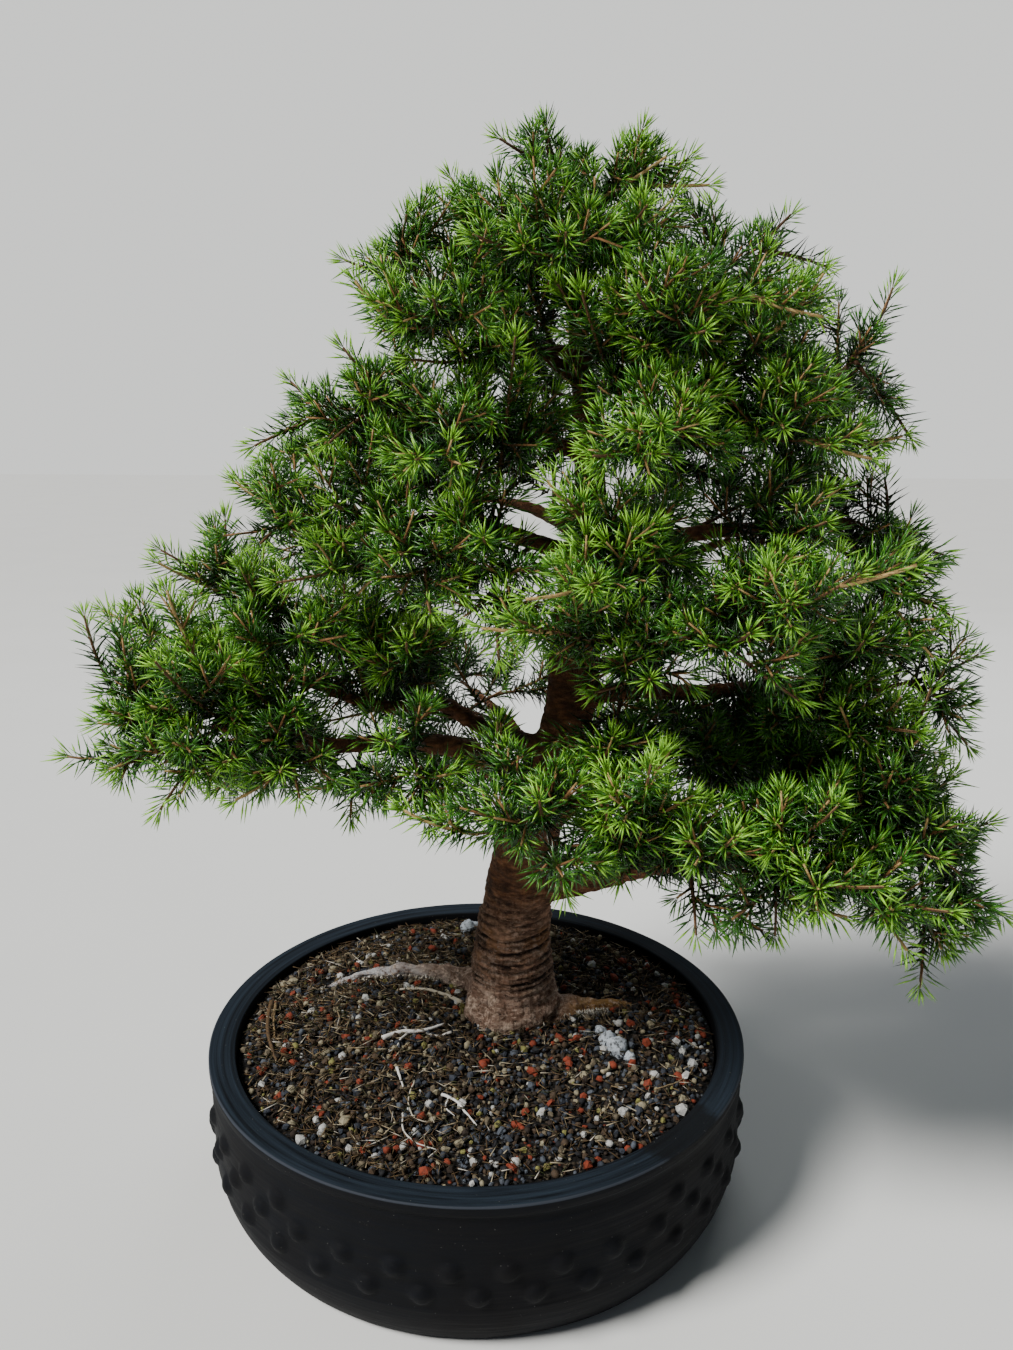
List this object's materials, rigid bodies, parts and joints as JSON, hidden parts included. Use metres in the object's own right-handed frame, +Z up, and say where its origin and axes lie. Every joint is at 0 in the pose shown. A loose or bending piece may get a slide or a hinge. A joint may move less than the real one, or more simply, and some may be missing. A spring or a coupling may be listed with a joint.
{
  "type": "spruce bonsai tree",
  "caption": "Dwarf spruce trained as a bonsai with a leaning trunk and open tiers of short-needled sprays, planted in gritty soil in a round dark studded drum pot.",
  "frame": {"origin": "centre of the pot's flat underside, on the surface that it stands on", "axes": "+Z up along the trunk, +Y away from the viewer towards the back of the tree, +X to the viewer's right"},
  "size_m": [0.5213, 0.339, 0.6039],
  "materials": {
    "pot": "matt unglazed charcoal clay with faint turning marks",
    "soil": "loose mixed grit of white, grey, black and brick-red grains with fallen needles",
    "screen": "black plastic mesh",
    "wood": "rough red-brown flaking bark",
    "needles": "satin green needles on thin orange-brown twigs"
  },
  "bodies": {
    "root": {"pot": "pot", "soil": "soil", "drain_screen_left": "screen", "drain_screen_right": "screen", "trunk_and_limbs": "wood", "spray_left_low_tip": "needles", "spray_left_low_outer": "needles", "spray_left_low_middle": "needles", "spray_left_low_hanging": "needles", "spray_left_low_inner": "needles", "spray_left_back_tip": "needles", "spray_left_back_outer": "needles", "spray_left_back_middle": "needles", "spray_left_back_inner": "needles", "spray_left_mid_tip": "needles", "spray_left_mid_outer": "needles", "spray_left_mid_middle": "needles", "spray_left_mid_inner": "needles", "spray_left_upper_tip": "needles", "spray_left_upper_middle": "needles", "spray_left_upper_inner": "needles", "spray_left_top_tip": "needles", "spray_left_top_middle": "needles", "spray_left_top_inner": "needles", "spray_apex_leader": "needles", "spray_apex_right": "needles", "spray_apex_front": "needles", "spray_apex_back": "needles", "spray_right_top_tip": "needles", "spray_right_top_middle": "needles", "spray_right_top_inner": "needles", "spray_right_high_tip": "needles", "spray_right_high_middle": "needles", "spray_right_high_inner": "needles", "spray_right_upper_tip": "needles", "spray_right_upper_outer": "needles", "spray_right_upper_middle": "needles", "spray_right_upper_inner": "needles", "spray_right_mid_tip": "needles", "spray_right_mid_outer": "needles", "spray_right_front_tip": "needles", "spray_right_front_inner": "needles", "spray_right_low_tip": "needles", "spray_right_low_outer": "needles", "spray_right_low_middle": "needles", "spray_right_low_inner": "needles", "spray_right_low_raised": "needles", "spray_front_low_tip": "needles", "spray_front_low_side": "needles", "spray_back_low_tip": "needles", "spray_back_low_side": "needles", "spray_back_low_right_tip": "needles", "spray_back_low_right_side": "needles", "spray_back_mid_tip": "needles", "spray_back_mid_right_tip": "needles", "spray_back_mid_left_tip": "needles", "spray_back_high_tip": "needles", "spray_back_high_left_tip": "needles"}
  },
  "joints": []
}
